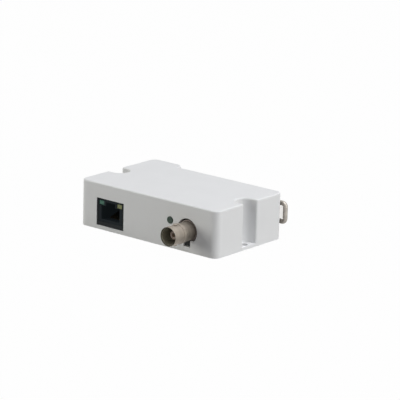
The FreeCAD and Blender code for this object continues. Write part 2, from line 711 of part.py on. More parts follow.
def ethernet_chip():
    """Square chip with leads on all four sides."""
    body = (CHIP_SIZE, CHIP_SIZE, CHIP_H)
    front_and_rear = lead_rows(JACK_X, ETHERNET_Y, body, CHIP_SPAN, CHIP_LEAD_COUNT, CHIP_PITCH)
    sides = [lead.copy() for lead in front_and_rear]
    for lead in sides:
        lead.rotate(V(JACK_X, ETHERNET_Y, 0), V(0, 0, 1), 90)
    return chip_moulding(JACK_X, ETHERNET_Y, body).fuse(front_and_rear + sides)


def modem_chip():
    """Square chip that lies flat on the board, with a dimple at its first corner."""
    top = BOARD_TOP + MODEM_H
    body = block(MODEM_X, 0, (MODEM_SIZE, MODEM_SIZE, MODEM_H), BOARD_TOP)
    body = body.makeChamfer(CHIP_BEVEL, top_edges(body, top))
    corner = MODEM_SIZE / 2 - DIMPLE_INSET
    return body.cut(post(MODEM_X - corner, -corner, DIMPLE_R, top - DIMPLE_DEPTH, top + PAST))


def memory_chip():
    x = MODEM_X - MEMORY_FROM_MODEM
    y = BOARD_Y - SMALL_CHIPS_FROM_REAR
    return two_row_chip(x, y, MEMORY_BODY, MEMORY_SPAN, SMALL_LEAD_COUNT, SMALL_PITCH)


def power_chip():
    x = MODEM_X + POWER_CHIP_FROM_MODEM
    y = BOARD_Y - SMALL_CHIPS_FROM_REAR
    return two_row_chip(x, y, POWER_CHIP_BODY, POWER_CHIP_SPAN, SMALL_LEAD_COUNT, SMALL_PITCH)


def can_outline(inset):
    """The crystal's round-ended can in plan, drawn in by inset."""
    half_x = CRYSTAL_W / 2 - inset
    half_y = CRYSTAL_LENGTH / 2 - inset
    ends = [(-half_x, -half_y), (half_x, -half_y), (half_x, half_y), (-half_x, half_y)]
    return outline([(CRYSTAL_X + x, ETHERNET_Y + y, half_x) for x, y in ends])


def crystal():
    """Round-ended metal can on a slightly wider base."""
    can = prism(can_outline(CRYSTAL_FLANGE), BOARD_TOP, BOARD_TOP + CRYSTAL_H)
    return can.fuse(prism(can_outline(0), BOARD_TOP, BOARD_TOP + CRYSTAL_FLANGE_T))


def column_places(depths):
    """Centres, front to rear, of pieces that stand one behind the other behind the connector's base."""
    places = []
    front = BASE_REAR + PART_GAP
    for depth in depths:
        places.append(front + depth / 2)
        front += depth + PART_GAP
    return places


def outer_column():
    x = BNC_X + OUTER_COLUMN
    return [(x, y) for y in column_places((INDUCTOR_SIZE, INDUCTOR_SIZE, CAPACITOR_BASE))]


def inner_column():
    x = BNC_X - INNER_COLUMN
    return [(x, y) for y in column_places((COUPLER_BODY[1], CAPACITOR_BASE, CAPACITOR_BASE))]


def line_transformer():
    """Coupling transformer: a round coil on a waisted core between two flanges."""
    x, y = inner_column()[0]
    length, depth, height = COUPLER_BODY
    top = BOARD_TOP + height
    lower = block(x, y, (length, depth, COUPLER_FLANGE), BOARD_TOP)
    upper = block(x, y, (length, depth, COUPLER_FLANGE), top - COUPLER_FLANGE)
    core = block(x, y, (length, COUPLER_CORE_W, height), BOARD_TOP)
    coil = post(x, y, COUPLER_COIL_R, BOARD_TOP + COUPLER_FLANGE / 2, top - COUPLER_FLANGE / 2)
    return lower.fuse([upper, core, coil]).removeSplitter()


def surge_arrester():
    """Gas tube lying on the board, a ceramic barrel between two wider end caps."""
    x = BNC_X - ARRESTER_FROM_BNC
    start = pipe_peg_y() + PIPE_PEG_R + PART_GAP
    end = start + ARRESTER_LENGTH
    cap_r = ARRESTER_R + ARRESTER_CAP_RISE
    corners = [(start, 0), (start, cap_r), (start + ARRESTER_CAP, cap_r), (start + ARRESTER_CAP, ARRESTER_R),
               (end - ARRESTER_CAP, ARRESTER_R), (end - ARRESTER_CAP, cap_r), (end, cap_r), (end, 0)]
    points = [V(x, y, BOARD_TOP + cap_r + radius) for y, radius in corners]
    face = Part.Face(Part.makePolygon(points + points[:1]))
    return face.revolve(V(x, 0, BOARD_TOP + cap_r), V(0, 1, 0), 360)


def power_inductors():
    """Square chokes with cut corners and a ring groove round the core in the top."""
    top = BOARD_TOP + INDUCTOR_H
    chokes = []
    for x, y in outer_column()[:2]:
        body = block(x, y, (INDUCTOR_SIZE, INDUCTOR_SIZE, INDUCTOR_H), BOARD_TOP)
        body = body.makeChamfer(INDUCTOR_CORNER, upright_edges(body))
        ring = post(x, y, INDUCTOR_RING_OUTER, top - INDUCTOR_RING_DEPTH, top + PAST)
        core = post(x, y, INDUCTOR_RING_INNER, top - INDUCTOR_RING_DEPTH, top + PAST)
        chokes.append(body.cut(ring.cut(core)))
    return chokes


def capacitor_can(x, y):
    """Drawn can with a rolled-in waist and a softened rim."""
    radius = CAPACITOR_R
    waist = CAPACITOR_WAIST_Z
    half = CAPACITOR_WAIST_H / 2
    top = CAPACITOR_H
    corners = [(0, 0), (radius, 0), (radius, waist - half), (CAPACITOR_WAIST_R, waist),
               (radius, waist + half), (radius, top - CAPACITOR_RIM), (radius - CAPACITOR_RIM, top), (0, top)]
    points = [V(x + out, y, BOARD_TOP + z) for out, z in corners]
    return Part.Face(Part.makePolygon(points + points[:1])).revolve(V(x, y, 0), V(0, 0, 1), 360)


def electrolytic_capacitors():
    """Standing cans, each on a square base with two cut corners."""
    cans = []
    for x, y in outer_column()[2:] + inner_column()[1:]:
        base = block(x, y, (CAPACITOR_BASE, CAPACITOR_BASE, CAPACITOR_BASE_T), BOARD_TOP)
        front = [edge for edge in upright_edges(base) if edge.BoundBox.YMax < y]
        cans.append(base.makeChamfer(CAPACITOR_BASE_CORNER, front).fuse(capacitor_can(x, y)))
    return cans


def power_diodes():
    length, depth, height = DIODE_BODY
    y = -BOARD_Y + DIODE_FROM_FRONT
    diodes = []
    for i in range(DIODE_COUNT):
        x = MODEM_X + (i - (DIODE_COUNT - 1) / 2) * DIODE_PITCH
        moulding = block(x, y, (length, depth, height - DIODE_LIFT), BOARD_TOP + DIODE_LIFT)
        moulding = moulding.makeChamfer(CHIP_BEVEL, top_edges(moulding, BOARD_TOP + height))
        diodes.append(moulding.fuse(block(x, y, DIODE_TAB, BOARD_TOP)))
    return diodes


def component_rows(size, row_gap):
    """One row of small parts in front of the modem chip and one behind it."""
    parts = []
    for side in (-1, 1):
        y = side * (MODEM_SIZE / 2 + row_gap)
        for i in range(ROW_COUNT):
            parts.append(block(MODEM_X + (i - (ROW_COUNT - 1) / 2) * ROW_PITCH, y, size, BOARD_TOP))
    return parts


def rear_loop():
    """Round wire bent to a squared loop, its two ends turned forward through the rear wall."""
    leg_x = RIGHT - LOOP_LEG_X
    bar_x = RIGHT - LOOP_FROM_RIGHT
    plane = REAR + LOOP_FROM_REAR
    start = REAR - WALL - LOOP_SLEEVE
    corners = [V(leg_x, start, LOOP_LOW), V(leg_x, plane, LOOP_LOW), V(bar_x, plane, LOOP_LOW),
               V(bar_x, plane, LOOP_HIGH), V(leg_x, plane, LOOP_HIGH), V(leg_x, start, LOOP_HIGH)]
    here = corners[0]
    edges = []
    for before, corner, after in zip(corners, corners[1:], corners[2:]):
        back = (before - corner).normalize() * LOOP_BEND_R
        ahead = (after - corner).normalize() * LOOP_BEND_R
        middle = corner + (back + ahead) * (1 - math.sqrt(0.5))
        edges.append(Part.makeLine(here, corner + back))
        here = corner + ahead
        edges.append(Part.Arc(corner + back, middle, here).toShape())
    edges.append(Part.makeLine(here, corners[-1]))
    section = Part.Wire(Part.makeCircle(LOOP_WIRE_R, corners[0], V(0, 1, 0)))
    return Part.Wire(edges).makePipeShell([section], True, False)


NODES = {
    "top_cover": top_cover,
    "bottom_cover": bottom_cover,
    "cover_screws": cover_screws,
    "circuit_board": circuit_board,
    "board_screws": board_screws,
    "rj45_housing": rj45_housing,
    "rj45_contacts": rj45_contacts,
    "rj45_green_light": lambda: jack_light(0),
    "rj45_yellow_light": lambda: jack_light(1),
    "status_light_pipe": light_pipe,
    "status_led": status_led,
    "bnc_shell": bnc_shell,
    "bnc_base": bnc_base,
    "bnc_insulator": bnc_insulator,
    "bnc_centre_contact": bnc_centre_contact,
    "lan_transformer": lan_transformer,
    "ethernet_chip": ethernet_chip,
    "modem_chip": modem_chip,
    "memory_chip": memory_chip,
    "crystal": crystal,
    "line_transformer": line_transformer,
    "surge_arrester": surge_arrester,
    "power_chip": power_chip,
    "power_inductors": power_inductors,
    "electrolytic_capacitors": electrolytic_capacitors,
    "power_diodes": power_diodes,
    "chip_capacitors": lambda: component_rows(CHIP_CAP, CAP_ROW_GAP),
    "chip_resistors": lambda: component_rows(CHIP_RESISTOR, RESISTOR_ROW_GAP),
    "rear_loop": rear_loop,
    "loop_insert": loop_insert,
}

for name, make in NODES.items():
    made = make()
    shape = Part.makeCompound(made) if isinstance(made, list) else made
    print(name, "solids", len(shape.Solids), "valid", shape.isValid(), "volume", round(shape.Volume, 1))
    shape.exportStep("parts/" + name + ".step")
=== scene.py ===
"""Looks of an ethernet over coax transmitter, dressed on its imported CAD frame. Metres throughout."""
import bmesh
import bpy
from math import pi, radians
from mathutils import Matrix, Vector


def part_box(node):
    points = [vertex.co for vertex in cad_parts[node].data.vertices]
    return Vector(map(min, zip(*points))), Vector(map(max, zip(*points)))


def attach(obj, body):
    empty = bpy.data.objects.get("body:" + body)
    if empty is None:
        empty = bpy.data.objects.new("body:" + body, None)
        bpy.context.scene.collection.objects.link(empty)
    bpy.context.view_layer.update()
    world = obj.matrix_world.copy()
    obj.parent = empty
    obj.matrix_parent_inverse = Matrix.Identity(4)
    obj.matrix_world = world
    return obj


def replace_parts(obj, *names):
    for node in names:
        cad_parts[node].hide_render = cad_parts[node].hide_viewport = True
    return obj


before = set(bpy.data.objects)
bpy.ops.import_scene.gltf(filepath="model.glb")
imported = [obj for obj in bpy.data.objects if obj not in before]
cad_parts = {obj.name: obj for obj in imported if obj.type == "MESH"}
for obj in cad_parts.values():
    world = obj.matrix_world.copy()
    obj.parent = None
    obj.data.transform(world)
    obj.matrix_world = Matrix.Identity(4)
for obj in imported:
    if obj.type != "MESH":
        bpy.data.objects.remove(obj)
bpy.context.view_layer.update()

# The camera stands to the right of the box and a little above it, far away behind a long lens,
# so that the box's edges hardly converge.
camera_data = bpy.data.cameras.new("studio_camera")
camera_data.lens = 214.13
camera_data.sensor_width = 36.0
camera_data.clip_end = 50.0
camera = bpy.data.objects.new("studio_camera", camera_data)
turn = Matrix.Rotation(radians(39.413), 4, "Z")
tilt = Matrix.Rotation(radians(90.0 - 15.411), 4, "X")
roll = Matrix.Rotation(radians(1.489), 4, "Z")
stand = Matrix.Translation((0.73922, -0.88447, 0.33420))
camera.matrix_world = stand @ turn @ tilt @ roll
bpy.context.scene.collection.objects.link(camera)
bpy.context.scene.camera = camera
bpy.context.scene.view_settings.view_transform = "Standard"

# White sweep under the box. Most of what the camera sees of it is plain white, and the rest takes
# the box's faint shadow.
floor_mesh = bmesh.new()
bmesh.ops.create_circle(floor_mesh, cap_ends=True, segments=64, radius=6.0)
floor_data = bpy.data.meshes.new("studio_floor")
floor_mesh.to_mesh(floor_data)
floor_mesh.free()
floor = bpy.data.objects.new("studio_floor", floor_data)
bpy.context.scene.collection.objects.link(floor)


def seen_directly(tree):
    """Output that is 1 for rays that show the backdrop: from the camera, a gloss or through glass."""
    path = tree.nodes.new("ShaderNodeLightPath")
    seen = path.outputs["Is Camera Ray"]
    for kind in ("Is Glossy Ray", "Is Transmission Ray"):
        either = tree.nodes.new("ShaderNodeMath")
        either.operation = "MAXIMUM"
        tree.links.new(seen, either.inputs[0])
        tree.links.new(path.outputs[kind], either.inputs[1])
        seen = either.outputs[0]
    return seen


sweep = bpy.data.materials.new("studio_sweep")
sweep.use_nodes = True
tree = sweep.node_tree
paper = tree.nodes["Principled BSDF"]
paper.inputs["Base Color"].default_value = (0.4, 0.4, 0.4, 1.0)
paper.inputs["Roughness"].default_value = 0.9
paper.inputs["Specular IOR Level"].default_value = 0.0
glow = tree.nodes.new("ShaderNodeEmission")
share = tree.nodes.new("ShaderNodeMath")
share.operation = "MULTIPLY"
share.inputs[1].default_value = 0.985
tree.links.new(seen_directly(tree), share.inputs[0])
blend = tree.nodes.new("ShaderNodeMixShader")
tree.links.new(share.outputs[0], blend.inputs["Fac"])
tree.links.new(paper.outputs[0], blend.inputs[1])
tree.links.new(glow.outputs[0], blend.inputs[2])
tree.links.new(blend.outputs[0], tree.nodes["Material Output"].inputs["Surface"])
floor_data.materials.append(sweep)

# Room round the box: plain white to the camera, in a gloss or through glass, and otherwise a faint
# even light that fills the shadows.
world = bpy.data.worlds.new("studio_world")
bpy.context.scene.world = world
world.use_nodes = True
tree = world.node_tree
soft = tree.nodes["Background"]
soft.inputs["Color"].default_value = (1.0, 1.0, 1.0, 1.0)
soft.inputs["Strength"].default_value = 0.07
white = tree.nodes.new("ShaderNodeBackground")
white.inputs["Color"].default_value = (1.0, 1.0, 1.0, 1.0)
blend = tree.nodes.new("ShaderNodeMixShader")
tree.links.new(seen_directly(tree), blend.inputs["Fac"])
tree.links.new(soft.outputs[0], blend.inputs[1])
tree.links.new(white.outputs[0], blend.inputs[2])
tree.links.new(blend.outputs[0], tree.nodes["World Output"].inputs["Surface"])

# Three soft lamps: one overhead, one low in front on the left and one low on the right, which is the
# side that looks brightest after the top.


def soft_box(name, place, size, power, colour):
    """Square studio lamp at a place, facing the origin under the middle of the box."""
    lamp_data = bpy.data.lights.new(name, "AREA")
    lamp_data.shape = "SQUARE"
    lamp_data.size = size
    lamp_data.energy = power
    lamp_data.color = colour
    lamp = bpy.data.objects.new(name, lamp_data)
    lamp.location = place
    lamp.rotation_euler = Vector(place).to_track_quat("Z", "Y").to_euler()
    bpy.context.scene.collection.objects.link(lamp)


soft_box("overhead_lamp", (0.5, 0.15, 1.3), 1.1, 15.6, (0.99, 1.0, 1.035))
soft_box("left_lamp", (-1.05, -0.85, 0.32), 0.9, 11.6, (1.0, 0.995, 0.935))
soft_box("right_lamp", (1.4, 0.15, 0.35), 0.9, 9.3, (1.0, 0.995, 0.955))

# Case and bottom cover: off-white moulded plastic. The tools that mould it are spark-eroded, which
# leaves a fine even grain and hardly any gloss on every outside face, and the colour has the slight
# unevenness of a pigmented batch.
NOISE_LOW = 0.3
NOISE_HIGH = 0.7
BATCH_PATCH = 0.009
GRAIN_RANGE = 0.06


def coordinates(tree, stretch=(1.0, 1.0, 1.0)):
    """The piece's own coordinates, stretched along its axes."""
    place = tree.nodes.new("ShaderNodeTexCoord")
    mapping = tree.nodes.new("ShaderNodeMapping")
    mapping.inputs["Scale"].default_value = stretch
    tree.links.new(place.outputs["Object"], mapping.inputs["Vector"])
    return mapping.outputs[0]


def noise(tree, where, size, detail=2.0):
    """Noise whose patches are about size metres across."""
    cloud = tree.nodes.new("ShaderNodeTexNoise")
    cloud.inputs["Scale"].default_value = 1.0 / size
    cloud.inputs["Detail"].default_value = detail
    tree.links.new(where, cloud.inputs["Vector"])
    return cloud.outputs["Fac"]


def spread(tree, value, low, high):
    """Value from the middle of a noise's range, spread over low to high."""
    stretch = tree.nodes.new("ShaderNodeMapRange")
    stretch.inputs["From Min"].default_value = NOISE_LOW
    stretch.inputs["From Max"].default_value = NOISE_HIGH
    stretch.inputs["To Min"].default_value = low
    stretch.inputs["To Max"].default_value = high
    tree.links.new(value, stretch.inputs["Value"])
    return stretch.outputs[0]


def tint(tree, shader, value, colour, other):
    """Base colour that goes from colour to other as value goes over the noise's range."""
    ramp = tree.nodes.new("ShaderNodeValToRGB")
    ramp.color_ramp.elements[0].position = NOISE_LOW
    ramp.color_ramp.elements[0].color = (*colour, 1.0)
    ramp.color_ramp.elements[1].position = NOISE_HIGH
    ramp.color_ramp.elements[1].color = (*other, 1.0)
    tree.links.new(value, ramp.inputs["Fac"])
    tree.links.new(ramp.outputs["Color"], shader.inputs["Base Color"])


def relief(tree, shader, value, height):
    """Bump of a height in metres."""
    bump = tree.nodes.new("ShaderNodeBump")
    bump.inputs["Distance"].default_value = height
    tree.links.new(value, bump.inputs["Height"])
    tree.links.new(bump.outputs[0], shader.inputs["Normal"])


def moulding(name, colour, other, roughness, grain, height):
    """Moulded plastic with an even grain whose size and height are in metres."""
    material = bpy.data.materials.new(name)
    material.use_nodes = True
    tree = material.node_tree
    shader = tree.nodes["Principled BSDF"]
    where = coordinates(tree)
    tint(tree, shader, noise(tree, where, BATCH_PATCH), colour, other)
    fine = noise(tree, where, grain)
    dull = spread(tree, fine, roughness - GRAIN_RANGE, roughness + GRAIN_RANGE)
    tree.links.new(dull, shader.inputs["Roughness"])
    relief(tree, shader, fine, height)
    return material


def set_gloss(material, level):
    """Strength of a material's gloss, which is 0.5 on common plastic."""
    material.node_tree.nodes["Principled BSDF"].inputs["Specular IOR Level"].default_value = level


def dress(node, material):
    """Puts a finish on a CAD piece."""
    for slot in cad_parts[node].material_slots:
        slot.material = material


case_white = moulding("case_white", (0.788, 0.792, 0.798), (0.776, 0.780, 0.786), 0.8, 0.0003, 0.00002)
set_gloss(case_white, 0.2)
dress("top_cover", case_white)
dress("bottom_cover", case_white)

# Four countersunk screws hold the bottom cover, and four pan-head screws the board. They are rolled
# from steel wire and zinc plated, with fine marks left under the plating.
MARK_DETAIL = 4.0
MARK_RANGE = 0.08
MARK_HEIGHT = 0.000005
PATCH_OF_MARKS = 8


def plating(name, colour, other, roughness, grain, stretch=(1.0, 1.0, 1.0)):
    """Bare or plated metal whose gloss varies in fine marks, grain metres in size."""
    material = bpy.data.materials.new(name)
    material.use_nodes = True
    tree = material.node_tree
    shader = tree.nodes["Principled BSDF"]
    shader.inputs["Metallic"].default_value = 1.0
    where = coordinates(tree, stretch)
    marks = noise(tree, where, grain, MARK_DETAIL)
    tint(tree, shader, noise(tree, where, grain * PATCH_OF_MARKS), colour, other)
    dull = spread(tree, marks, roughness - MARK_RANGE, roughness + MARK_RANGE)
    tree.links.new(dull, shader.inputs["Roughness"])
    relief(tree, shader, marks, MARK_HEIGHT)
    return material


zinc = plating("zinc", (0.60, 0.61, 0.63), (0.50, 0.51, 0.54), 0.35, 0.0002)
dress("cover_screws", zinc)
dress("board_screws", zinc)

# Network jack: a black glass-filled moulding, open in front for the plug, with a narrower step above it
# for the plug's latch and a window for a lens in each upper corner. Two pegs hold it on the board.
# Sizes are in millimetres, across from the jack's middle, up from its floor and back from its front.
MM = 0.001
jack_low, jack_high = [Vector(corner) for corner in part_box("rj45_housing")]
jack_middle = (jack_low.x + jack_high.x) / 2
jack_front = jack_low.y
JACK_TALL = 11.5
PLUG_HALF = 6.0
PLUG_FLOOR = 1.3
PLUG_ROOF = 8.3
LATCH_HALF = 3.1
LATCH_ROOF = 10.4
WINDOW_INNER = 4.26
WINDOW_OUTER = 7.64
WINDOW_FLOOR = 8.56
WINDOW_ROOF = 10.84
PLUG_DEPTH = 13.0
WINDOW_DEPTH = 9.15
JACK_EDGE = 0.18
PEG_ACROSS = 5.7
PEG_BACK = 9.0
PEG_MIDDLE = -0.9
PEG_TALL = 2.6
PEG_R = 1.55
PEG_TIP_R = 1.3
jack_floor = jack_high.z - JACK_TALL * MM


def piece(name, work, material):
    """Finished piece, its large faces shaded flat and its edges round."""
    bmesh.ops.recalc_face_normals(work, faces=work.faces)
    for face in work.faces:
        face.smooth = True
    data = bpy.data.meshes.new(name)
    work.to_mesh(data)
    work.free()
    data.materials.append(material)
    made = bpy.data.objects.new(name, data)
    bpy.context.scene.collection.objects.link(made)
    crisp = made.modifiers.new("even_faces", "WEIGHTED_NORMAL")
    crisp.keep_sharp = True
    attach(made, "root")
    return made


def draw_out(work, faces, way):
    """Extrudes faces and moves the new ones by a vector, while the old ones stay in place."""
    drawn = bmesh.ops.extrude_face_region(work, geom=faces)
    moved = [item for item in drawn["geom"] if isinstance(item, bmesh.types.BMVert)]
    bmesh.ops.translate(work, vec=way, verts=moved)


def press_back(work, inside, depth):
    """Presses the front faces whose middle passes the test inside(x, z), in millimetres, back."""
    faces = []
    for face in work.faces:
        middle = face.calc_center_median()
        if face.normal.y < -0.9 and inside((middle.x - jack_middle) / MM, (middle.z - jack_floor) / MM):
            faces.append(face)
    draw_out(work, faces, (0.0, depth * MM, 0.0))
    bmesh.ops.delete(work, geom=faces, context="FACES")


def round_edges(work, edges, size, segments=2):
    """Rounds edges by a size in millimetres."""
    bmesh.ops.bevel(work, geom=edges, offset=size * MM, affect="EDGES", segments=segments, profile=0.5,
                    material=-1)


def front_rims(work, front):
    """Sharp edges that lie in the plane y = front."""
    bmesh.ops.recalc_face_normals(work, faces=work.faces)
    return [edge for edge in work.edges if all(abs(vert.co.y - front) < 1e-5 for vert in edge.verts)
            and edge.calc_face_angle(0.0) > 1.0]


def split(work, place, facing, drop=False):
    """Cuts through a whole piece in a plane, and drops what lies in front of the plane if told to."""
    bmesh.ops.bisect_plane(work, geom=work.verts[:] + work.edges[:] + work.faces[:], dist=1e-7,
                           plane_co=place, plane_no=facing, clear_outer=drop)


jack = bmesh.new()
bmesh.ops.create_cube(jack, size=1.0)
tall = JACK_TALL * MM
bmesh.ops.scale(jack, vec=(jack_high.x - jack_low.x, jack_high.y - jack_low.y, tall), verts=jack.verts)
bmesh.ops.translate(jack, verts=jack.verts,
                    vec=(jack_middle, (jack_low.y + jack_high.y) / 2, jack_floor + tall / 2))
for across in (PLUG_HALF, LATCH_HALF, WINDOW_INNER, WINDOW_OUTER):
    for side in (-1, 1):
        split(jack, (jack_middle + side * across * MM, 0.0, 0.0), (1.0, 0.0, 0.0))
for height in (PLUG_FLOOR, PLUG_ROOF, LATCH_ROOF, WINDOW_FLOOR, WINDOW_ROOF):
    split(jack, (0.0, 0.0, jack_floor + height * MM), (0.0, 0.0, 1.0))
press_back(jack, lambda x, z: abs(x) < PLUG_HALF and PLUG_FLOOR < z < PLUG_ROOF
           or abs(x) < LATCH_HALF and PLUG_ROOF < z < LATCH_ROOF, PLUG_DEPTH)
press_back(jack, lambda x, z: WINDOW_INNER < abs(x) < WINDOW_OUTER and WINDOW_FLOOR < z < WINDOW_ROOF,
           WINDOW_DEPTH)
round_edges(jack, front_rims(jack, jack_front), JACK_EDGE)
for side in (-1, 1):
    place = Matrix.Translation((jack_middle + side * PEG_ACROSS * MM, jack_front + PEG_BACK * MM,
                                jack_floor + PEG_MIDDLE * MM))
    bmesh.ops.create_cone(jack, cap_ends=True, segments=32, radius1=PEG_TIP_R * MM, radius2=PEG_R * MM,
                          depth=PEG_TALL * MM, matrix=place)
jack_black = moulding("jack_black", (0.002, 0.004, 0.006), (0.004, 0.006, 0.008), 0.6, 0.0004, 0.00002)
set_gloss(jack_black, 0.08)
# The black moulding glows faintly: painted light that stands in for the haze of stray light over the deep
# black of the mouth.
jack_glow_shader = jack_black.node_tree.nodes["Principled BSDF"]
jack_glow_shader.inputs["Emission Color"].default_value = (0.7, 0.9, 1.0, 1.0)
jack_glow_shader.inputs["Emission Strength"].default_value = 0.006
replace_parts(piece("jack_housing", jack, jack_black), "rj45_housing")

# Dust frame of the jack: a thin black moulded frame that is pushed over the jack and closes the gap
# between the jack and the case's opening.
DUST_SIDE = 9.0
DUST_LOW = -2.25
DUST_HIGH = 11.9
DUST_INNER_SIDE = 8.0
DUST_INNER_LOW = -0.05
DUST_INNER_HIGH = 11.55
DUST_DEPTH = 1.7
DUST_PROUD = 0.1
DUST_EDGE = 0.12
dust_front = jack_front - DUST_PROUD * MM
dust = bmesh.new()
rings = []
for side, low, high in ((DUST_SIDE, DUST_LOW, DUST_HIGH),
                        (DUST_INNER_SIDE, DUST_INNER_LOW, DUST_INNER_HIGH)):
    rings.append([dust.verts.new((jack_middle + x * MM, dust_front, jack_floor + z * MM))
                  for x, z in ((-side, low), (side, low), (side, high), (-side, high))])
outer, inner = rings
bars = [dust.faces.new((outer[i - 1], outer[i], inner[i], inner[i - 1])) for i in range(4)]
draw_out(dust, bars, (0.0, DUST_DEPTH * MM, 0.0))
round_edges(dust, front_rims(dust, dust_front), DUST_EDGE)
dust_black = moulding("dust_black", (0.004, 0.006, 0.007), (0.006, 0.008, 0.010), 0.6, 0.0004, 0.00002)
set_gloss(dust_black, 0.16)
piece("jack_dust_frame", dust, dust_black)

# Spring contacts of the jack: eight strips cut from bronze sheet and plated with gold. Each runs
# forward from the back of the plug's space, then leans down over a rounded bend to its tip. A strip's
# corners are (behind the tip, above the tip, rounding).
CONTACTS = 8
CONTACT_PITCH = 1.02
CONTACT_WIDE = 0.45
STRIP = (
    (9.0, 2.1, 0.05), (7.0, 2.1, 0.5), (0.0, 0.0, 0.1), (0.0, 0.35, 0.1), (7.0, 2.45, 0.8), (9.0, 2.45, 0.05),
)
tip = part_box("rj45_contacts")[0]
strips = bmesh.new()
for i in range(CONTACTS):
    edge_x = jack_middle + ((i - (CONTACTS - 1) / 2) * CONTACT_PITCH - CONTACT_WIDE / 2) * MM
    corners = [strips.verts.new((edge_x, tip.y + back * MM, tip.z + up * MM)) for back, up, _ in STRIP]
    strips.faces.new(corners)
    for corner, (_, _, bend) in zip(corners, STRIP):
        bmesh.ops.bevel(strips, geom=[corner], offset=bend * MM, affect="VERTICES", segments=4, profile=0.5,
                        material=-1)
    flat = [face for face in strips.faces if abs(face.calc_center_median().x - edge_x) < 1e-6]
    draw_out(strips, flat, (CONTACT_WIDE * MM, 0.0, 0.0))
# Painted shade: the gold is painted far darker than bare gold, for the dark inside the jack.
contact_gold = plating("contact_gold", (0.13, 0.088, 0.038), (0.10, 0.067, 0.028), 0.4, 0.001)
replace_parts(piece("jack_contacts", strips, contact_gold), "rj45_contacts")

# Lenses of the jack's two lights: small clear mouldings, one tinted green and one yellow, pressed into
# the windows in the jack's upper corners.


def lens(name, colour, other, roughness, gloss):
    """Tinted clear plastic, unlit, that the light enters a little way."""
    material = moulding(name, colour, other, roughness, 0.0006, 0.000005)
    shader = material.node_tree.nodes["Principled BSDF"]
    shader.inputs["Subsurface Weight"].default_value = 0.3
    shader.inputs["Subsurface Radius"].default_value = (0.001, 0.001, 0.001)
    set_gloss(material, gloss)
    return material


dress("rj45_green_light", lens("green_lens", (0.07, 0.20, 0.145), (0.05, 0.145, 0.105), 0.3, 0.3))
dress("rj45_yellow_light", lens("yellow_lens", (0.27, 0.29, 0.13), (0.16, 0.17, 0.08), 0.3, 0.3))

# Barrel of the coaxial connector: turned from brass bar and plated with dull nickel, with two pins pressed in
# across it for the bayonet. Its rim, the flare of its mouth and the groove behind the collar are painted
# nearly black (painted shade), and its bore is painted lighter than the outside (painted light).
# Sizes are in millimetres: radii, and distances behind the mouth.
shell_low, shell_high = [Vector(corner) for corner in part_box("bnc_shell")]
axis = (shell_low + shell_high) / 2
mouth = shell_low.y
REACH = (shell_high.y - mouth) / MM
NOSE = 4.85
RIM_INNER = 4.7
RIM_OUTER = 4.75
RIM_CHAMFER = 0.1
BORE = 4.25
BORE_FLARE = 0.45
COLLAR = 5.1
COLLAR_FRONT = 6.7
COLLAR_BACK = 8.4
GROOVE = 4.5
GROOVE_BACK = 8.8
FLANGE = 4.8
FLANGE_BACK = 16.45
SHANK = 4.4
SEAT = 9.5
SEAT_BORE = 3.4
BARREL_EDGE = 0.04
PIN_BACK = 5.2
PIN_R = 1.0
PIN_ROOT = 4.5
PIN_TIP = 5.5
PIN_EDGE = 0.2
BLUR = 0.02


def turning(profile, soften):
    """Solid turned about the connector's axis from (behind the mouth, radius) corners, each softened."""
    work = bmesh.new()
    corners = [work.verts.new((axis.x + radius * MM, mouth + back * MM, axis.z)) for back, radius in profile]
    work.faces.new(corners)
    bmesh.ops.bevel(work, geom=corners, offset=soften * MM, affect="VERTICES", segments=3, profile=0.5,
                    material=-1)
    bmesh.ops.delete(work, geom=work.faces[:], context="FACES_ONLY")
    bmesh.ops.spin(work, geom=work.verts[:] + work.edges[:], cent=axis, axis=(0.0, 1.0, 0.0), angle=2 * pi,
                   steps=96, use_merge=True)
    bmesh.ops.remove_doubles(work, verts=work.verts, dist=1e-7)
    return work


def ring_colour(material, edge, near):
    """Gives the part of a turned piece nearer to the connector's axis than edge its own colour."""
    tree = material.node_tree
    shader = tree.nodes["Principled BSDF"]
    centred = tree.nodes.new("ShaderNodeMapping")
    centred.inputs["Location"].default_value = (-axis.x, 0.0, -axis.z)
    centred.inputs["Scale"].default_value = (1.0, 0.0, 1.0)
    tree.links.new(tree.nodes["Texture Coordinate"].outputs["Object"], centred.inputs["Vector"])
    out = tree.nodes.new("ShaderNodeVectorMath")
    out.operation = "LENGTH"
    tree.links.new(centred.outputs[0], out.inputs[0])
    beyond = tree.nodes.new("ShaderNodeMapRange")
    beyond.inputs["From Min"].default_value = (edge - BLUR) * MM
    beyond.inputs["From Max"].default_value = (edge + BLUR) * MM
    tree.links.new(out.outputs["Value"], beyond.inputs["Value"])
    blend = tree.nodes.new("ShaderNodeMix")
    blend.data_type = "RGBA"
    blend.inputs["A"].default_value = (*near, 1.0)
    far = shader.inputs["Base Color"].links[0].from_socket
    tree.links.new(beyond.outputs[0], blend.inputs["Factor"])
    tree.links.new(far, blend.inputs["B"])
    tree.links.new(blend.outputs["Result"], shader.inputs["Base Color"])


